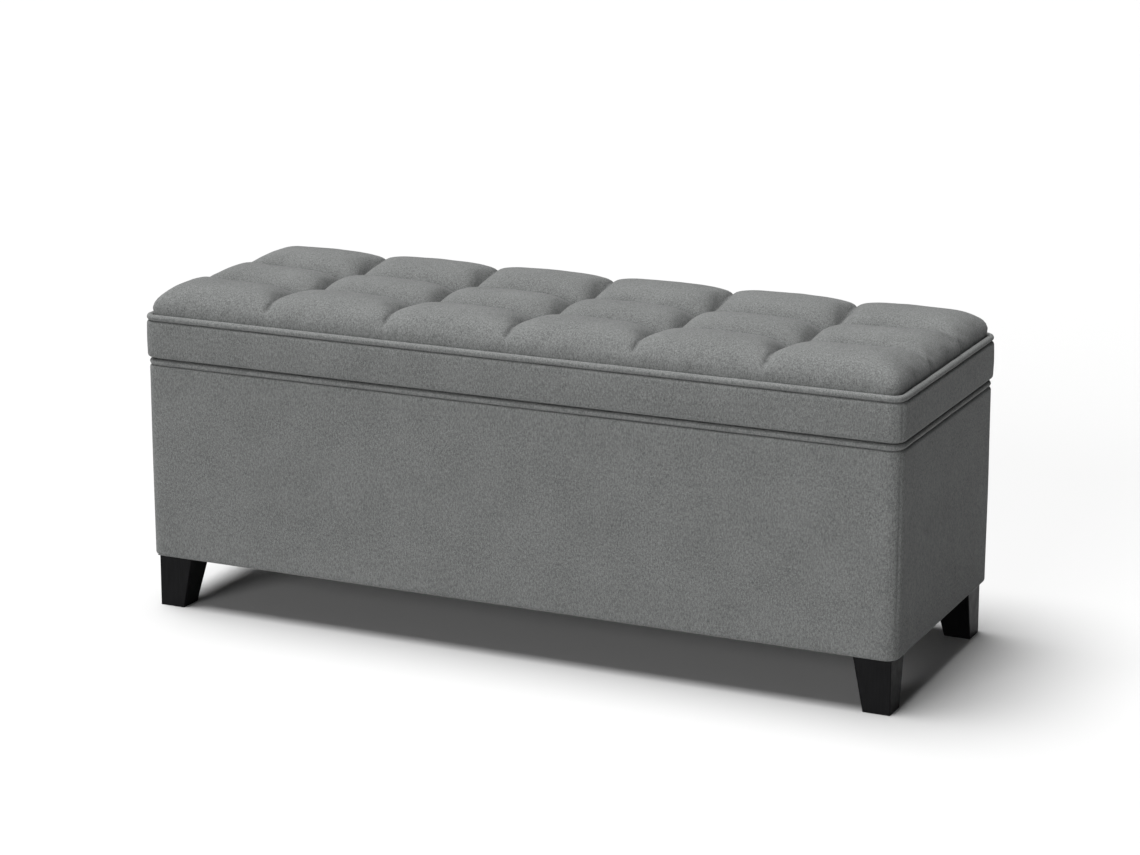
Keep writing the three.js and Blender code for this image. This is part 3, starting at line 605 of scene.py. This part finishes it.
def make_rim_cloth():
    """The cover's edge, turned over the rim and hanging inside the box."""
    mouth_low = (bag_low.x + CLOTH + 0.0002, bag_low.y + CLOTH + 0.0002)
    mouth_high = (bag_high.x - CLOTH - 0.0002, rail_low.y - CLOTH - 0.0004)
    outer_low, outer_high = (rim_low.x, rim_low.y), (rim_high.x, rim_high.y)
    radius = CORNER - (cover_high.x - rim_high.x)
    top, foot, bead = rim_high.z, rim_low.z, 0.0022
    riser_foot = cover_high.z + 0.0004

    def row(share, shift, z, wave=0.0):
        low = [a + (b - a) * share for a, b in zip(outer_low, mouth_low)]
        high = [a + (b - a) * share for a, b in zip(outer_high, mouth_high)]
        low = [value + shift for value in low]
        high = [value - shift for value in high]
        bend = max(radius * (1 - share) + 0.003 * share, 0.0025)
        points, normals = rectangle_loop(low, high, bend, 0.010)
        made = np.empty((len(points), 3))
        for i, (point, normal) in enumerate(zip(points, normals)):
            swing = 0.5 + 0.5 * ripple(point, 0.0, 16.0, 5.0)
            made[i] = (*(point - normal * wave * swing), z)
        return made

    rows = [row(0, 0, riser_foot), row(0, 0, top - 0.003), row(0, 0.0008, top - 0.0008)]
    rows += [row(0, 0.003, top), row(0.5, 0, top)]
    rows += [row(1, -bead, top), row(1, -0.0006, top - 0.0007), row(1, 0, top - bead)]
    drop = [top - bead - (top - bead - foot) * k / 8 for k in range(1, 9)]
    hang = [0.0022 * (k / 8) ** 1.5 for k in range(1, 9)]
    rows += [row(1, 0, z, wave) for z, wave in zip(drop, hang)]
    rows += [row(1, -CLOTH, z, wave) for z, wave in zip(drop[::-1], hang[::-1])]
    rows += [row(1, -CLOTH, top - bead), row(1, -CLOTH, top - CLOTH), row(0.5, 0, top - CLOTH)]
    rows += [row(0, CLOTH, top - CLOTH - 0.0006), row(0, CLOTH, riser_foot)]
    piece = new_piece("rim_cloth", np.concatenate(rows), loft(rows, True), grey, "box")
    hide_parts("rim_cover")


def notched_corners(inset):
    """Corners of the compartment's outline, which steps in round the four corner posts."""
    x, y = bag_high.x - inset, (bag_high.y - bag_low.y) / 2 - inset
    notch = post_high.x - post_low.x + 0.0003
    turns = []
    for sx, sy in ((1, -1), (1, 1), (-1, 1), (-1, -1)):
        along_x = (sx * (x - notch), sy * y)
        inner = (sx * (x - notch), sy * (y - notch))
        along_y = (sx * x, sy * (y - notch))
        turns += [along_x, inner, along_y] if sx * sy < 0 else [along_y, inner, along_x]
    return [np.array(turn) for turn in turns]


def notched_loop(inset, step):
    """Points along that outline. Their number comes from the outermost one, so all loops match."""
    turns, widest = notched_corners(inset), notched_corners(0.0)
    points, normals = [], []
    for k, start in enumerate(turns):
        n = (k + 1) % len(turns)
        along = (turns[n] - start) / np.linalg.norm(turns[n] - start)
        count = max(2, round(np.linalg.norm(widest[n] - widest[k]) / step))
        for i in range(count):
            points.append(start + (turns[n] - start) * i / count + np.array([0, MIDDLE_Y]))
            normals.append(np.array([along[1], -along[0]]) * math.sin(math.pi * i / count))
    return np.array(points), np.array(normals)


def make_lining():
    """A sewn bag that lines the compartment, hanging a little loose from its walls."""
    foot, top = bag_low.z, bag_high.z
    levels = [top - (top - foot) * k / 26 for k in range(27)]

    def row(inset, z):
        points, normals = notched_loop(inset, 0.014)
        made = np.empty((len(points), 3))
        height = (z - foot) / (top - foot)
        for i, (point, normal) in enumerate(zip(points, normals)):
            soft = 0.5 + ripple(point, z, 4.0, 61.0) + 0.5 * ripple(point, z, 13.0, 33.0)
            fold = max(soft, 0.0) * 3.2 * MM * math.sin(math.pi * min(max(height, 0), 1)) ** 0.6
            made[i] = (*(point - normal * fold), z)
        return made

    outer = [row(0.0, z) for z in levels]
    inner = [row(CLOTH, z) for z in levels[:-1]] + [row(CLOTH, foot + CLOTH)]
    rows = outer[::-1] + inner
    faces = loft(rows, False)
    count = len(rows[0])
    faces.append(tuple(reversed(range(count))))
    last = (len(rows) - 1) * count
    faces.append(tuple(range(last, last + count)))
    piece = new_piece("compartment_lining", np.concatenate(rows), faces, black_cloth, "box")
    for polygon in piece.data.polygons[-2:]:
        polygon.use_smooth = False
    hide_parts("box_lining")


def flat_cloth(name, node, body, height_at):
    """A thin sheet stapled flat under a frame; height_at lifts it between the staples."""
    low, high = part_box(node)
    wide, deep = 84, 30
    thick = high.z - low.z
    layers = []
    for z in (low.z, low.z + thick):
        for j in range(deep + 1):
            for i in range(wide + 1):
                x = low.x + (high.x - low.x) * i / wide
                y = low.y + (high.y - low.y) * j / deep
                layers.append((x, y, z + height_at(x, y)))
    size = (wide + 1) * (deep + 1)
    faces = []
    for j in range(deep):
        for i in range(wide):
            a = j * (wide + 1) + i
            b, c, d = a + 1, a + wide + 2, a + wide + 1
            faces += [(a, d, c, b), (size + a, size + b, size + c, size + d)]
    rim = list(range(wide + 1)) + [j * (wide + 1) + wide for j in range(1, deep + 1)]
    rim += [deep * (wide + 1) + i for i in range(wide - 1, -1, -1)]
    rim += [j * (wide + 1) for j in range(deep - 1, 0, -1)]
    for k, a in enumerate(rim):
        b = rim[(k + 1) % len(rim)]
        faces.append((a, b, size + b, size + a))
    piece = new_piece(name, layers, faces, black_cloth, body)
    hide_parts(node)


def hollow(x, y, inset, bar):
    """0 over the frame round the edge and over the crossbar, 1 in the hollows between them."""
    to_edge = min(LID_X - abs(x), LID_Y - abs(y - MIDDLE_Y))
    return smooth((to_edge - inset) / 0.06) * smooth((abs(x) - bar) / 0.06)


def lid_cloth_height(x, y):
    soft = 0.6 + 0.7 * noise.noise(Vector((x * 3.1, y * 5.0, 8.0)))
    pull = 0.25 * noise.noise(Vector((x * 16.0, y * 16.0, 2.0)))
    return 1.7 * MM * hollow(x, y, 0.030, 0.022) * min(max(soft + pull, 0.0), 1.0)


def dust_cloth_height(x, y):
    to_edge = min(LID_X - abs(x), LID_Y - abs(y - MIDDLE_Y))
    sag = 0.6 + 0.5 * noise.noise(Vector((x * 3.0, y * 4.0, 4.0)))
    return -2.0 * MM * smooth((to_edge - 0.075) / 0.08) * min(max(sag, 0.0), 1.0)


make_rim_cloth()
make_lining()
flat_cloth("lid_underside_cloth", "lid_lining", "lid", lid_cloth_height)
flat_cloth("bottom_dust_cloth", "dust_cover", "box", dust_cloth_height)


# ---- Fasteners ------------------------------------------------------------------------
def placed(points, place, axis):
    """Points made about +Z, turned to point along axis and moved to place."""
    turn = Vector((0, 0, 1)).rotation_difference(Vector(axis))
    return [tuple(turn @ Vector(p) + Vector(place)) for p in points]


def screw_head(radius, height):
    """A round head with a bevelled rim and a cross recess, its top at the origin."""
    arm, wide, deep, sides = 0.62 * radius, 0.15 * radius, 0.45 * height, 24
    points, faces = [], []
    for r, z in ((radius, -height), (radius, -0.35 * height), (0.86 * radius, 0.0)):
        for k in range(sides):
            angle = 2 * math.pi * (k + 0.5) / sides
            points.append((r * math.cos(angle), r * math.sin(angle), z))
    for j in range(2):
        for k in range(sides):
            n = (k + 1) % sides
            faces.append((j * sides + k, j * sides + n, (j + 1) * sides + n, (j + 1) * sides + k))
    faces.append(tuple(reversed(range(sides))))
    corners = []
    for quarter in range(4):
        cos, sin = math.cos(math.pi / 2 * quarter), math.sin(math.pi / 2 * quarter)
        for x, y in ((wide, -wide), (arm, -wide), (arm, wide)):
            corners.append((x * cos - y * sin, x * sin + y * cos))
    first = len(points)
    points += [(x, y, 0.0) for x, y in corners] + [(x, y, -deep) for x, y in corners]
    count = len(corners)
    for k in range(count):
        n = (k + 1) % count
        faces.append((first + n, first + k, first + count + k, first + count + n))
    faces.append(tuple(first + count + k for k in range(count)))
    top, ring = 2 * sides, sides // 4
    for quarter in range(4):
        inner = [first + (3 * quarter + k) % count for k in range(4)]
        start = quarter * ring - ring // 2
        rim = [top + (start + k) % sides for k in range(ring + 1)]
        faces.append((*rim, *reversed(inner)))
    return points, faces


def staple():
    """A flat crown with its two ends turned up into the frame."""
    x, y, z, leg = 0.0050, 0.0006, 0.0006, 0.004
    outside = [(-x, 0), (x, 0), (x, -leg)]
    inside = [(x - z, -leg), (x - z, -z), (-x + z, -z), (-x + z, -leg)]
    section = outside + inside + [(-x, -leg)]
    points = [(px, side * y, pz) for side in (-1, 1) for px, pz in section]
    count = len(section)
    faces = [(k, count + k, count + (k + 1) % count, (k + 1) % count) for k in range(count)]
    for front in ((0, 1, 4, 5), (1, 2, 3, 4), (0, 5, 6, 7)):
        faces.append(front)
        faces.append(tuple(count + k for k in reversed(front)))
    return points, faces


def gather(name, made, material, body):
    """One piece from many small shapes, each a (points, faces) pair already in place."""
    points, faces = [], []
    for shape_points, shape_faces in made:
        first = len(points)
        points += shape_points
        faces += [tuple(first + k for k in face) for face in shape_faces]
    piece = new_piece(name, points, faces, material, body, smooth=False)


def hinge_screws(node, upward):
    low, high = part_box(node)
    middle = (low.x + high.x) / 2
    axis = (0, 0, 1) if upward else (0, 0, -1)
    knuckle_z = (low.z + high.z) / 2
    face_z = knuckle_z - 0.0003 if upward else knuckle_z + 0.0003
    head, faces = screw_head(0.0021, 0.0009)
    made = []
    for i in (-1, 0, 1):
        y = low.y + (0.019 if i == 0 else 0.010)
        made.append((placed(head, (middle + i * 0.032, y, face_z), axis), faces))
    return made


def bracket_screws(side):
    low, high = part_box(f"{side}_stay_box_bracket")
    inward = 1 if side == "left" else -1
    plate = low.x + 0.002 if side == "left" else high.x - 0.002
    y, z = (low.y + high.y) / 2, (low.z + high.z) / 2
    head, faces = screw_head(0.0038, 0.0007)
    axis = (inward, 0, 0)
    return [
        (placed(head, (plate + inward * 0.0007, y, z + k * 0.018), axis), faces) for k in (-1, 1)
    ]


def flange_screws(side):
    low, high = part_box(f"{side}_stay_lid_bracket")
    inward = 1 if side == "left" else -1
    x = (low.x + high.x) / 2 + inward * 0.003
    y, z = (low.y + high.y) / 2, high.z - 0.0015
    head, faces = screw_head(0.0038, 0.0012)
    return [(placed(head, (x, y + k * 0.014, z - 0.0012), (0, 0, -1)), faces) for k in (-1, 1)]


def staples_round(node, inset, spacing):
    """Staples side by side along the edge of a cloth, seen from below."""
    low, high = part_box(node)
    shape_points, faces = staple()
    shape_points = [(x, -y, -z) for x, y, z in shape_points]
    made = []
    for x0, y0, x1, y1 in (
        (low.x + inset, low.y + inset, high.x - inset, low.y + inset),
        (high.x - inset, low.y + inset, high.x - inset, high.y - inset),
        (high.x - inset, high.y - inset, low.x + inset, high.y - inset),
        (low.x + inset, high.y - inset, low.x + inset, low.y + inset),
    ):
        length = math.hypot(x1 - x0, y1 - y0)
        count = int(length / spacing)
        turn = math.atan2(y1 - y0, x1 - x0)
        for k in range(count):
            share = (k + 0.5) / count
            tilt = turn + 0.12 * noise.noise(Vector((k * 1.7, turn * 3.0, x0 * 9.0)))
            cx, cy = x0 + (x1 - x0) * share, y0 + (y1 - y0) * share
            cos, sin = math.cos(tilt), math.sin(tilt)
            points = [
                (cx + x * cos - y * sin, cy + x * sin + y * cos, low.z - 0.0002 + z)
                for x, y, z in shape_points
            ]
            made.append((points, faces))
    return made


steel, black_steel = by_slot["steel"], by_slot["black_steel"]
box_side = [s for side in ("left", "right") for s in hinge_screws(f"{side}_hinge_box_leaf", True)]
lid_side = [s for side in ("left", "right") for s in hinge_screws(f"{side}_hinge_lid_leaf", False)]
gather("hinge_screws_box", box_side, steel, "box")
gather("hinge_screws_lid", lid_side, steel, "lid")
on_box = bracket_screws("left") + bracket_screws("right")
on_lid = flange_screws("left") + flange_screws("right")
gather("bracket_screws_box", on_box, black_steel, "box")
gather("bracket_screws_lid", on_lid, black_steel, "lid")
gather("dust_cloth_staples", staples_round("dust_cover", 0.008, 0.055), steel, "box")
gather("lid_cloth_staples", staples_round("lid_lining", 0.008, 0.055), steel, "lid")


# ---- Floor and light ----------------------------------------------------------------
def make_stage():
    mesh = bpy.data.meshes.new("floor")
    size = 60.0
    corners = [(-size, -size, 0), (size, -size, 0), (size, size, 0), (-size, size, 0)]
    mesh.from_pydata(corners, [], [(0, 1, 2, 3)])
    floor = bpy.data.objects.new("floor", mesh)
    bpy.context.scene.collection.objects.link(floor)
    material = bpy.data.materials.new("pale_floor")
    material.use_nodes = True
    shader = material.node_tree.nodes["Principled BSDF"]
    shader.inputs["Base Color"].default_value = rgb(0.485, 0.485, 0.485)
    shader.inputs["Roughness"].default_value = 0.9
    shader.inputs["Specular IOR Level"].default_value = 0.1
    mesh.materials.append(material)


def sun_light(name, towards, strength, spread):
    """A soft distant light; towards points from the bench to the light."""
    data = bpy.data.lights.new(name, "SUN")
    data.energy = strength
    data.angle = math.radians(spread)
    lamp = bpy.data.objects.new(name, data)
    lamp.rotation_mode = "QUATERNION"
    lamp.rotation_quaternion = (-Vector(towards)).to_track_quat("-Z", "Y")
    bpy.context.scene.collection.objects.link(lamp)


make_stage()
sun_light("key", (-0.23, -0.05, 0.95), 6.1, 42)
sun_light("fill", (-0.20, -1.00, 0.23), 2.3, 30)
world = bpy.data.worlds.new("studio")
world.use_nodes = True
world.node_tree.nodes["Background"].inputs["Color"].default_value = rgb(1, 1, 1)
world.node_tree.nodes["Background"].inputs["Strength"].default_value = 0.07
bpy.context.scene.world = world
bpy.context.scene.view_settings.view_transform = "Standard"
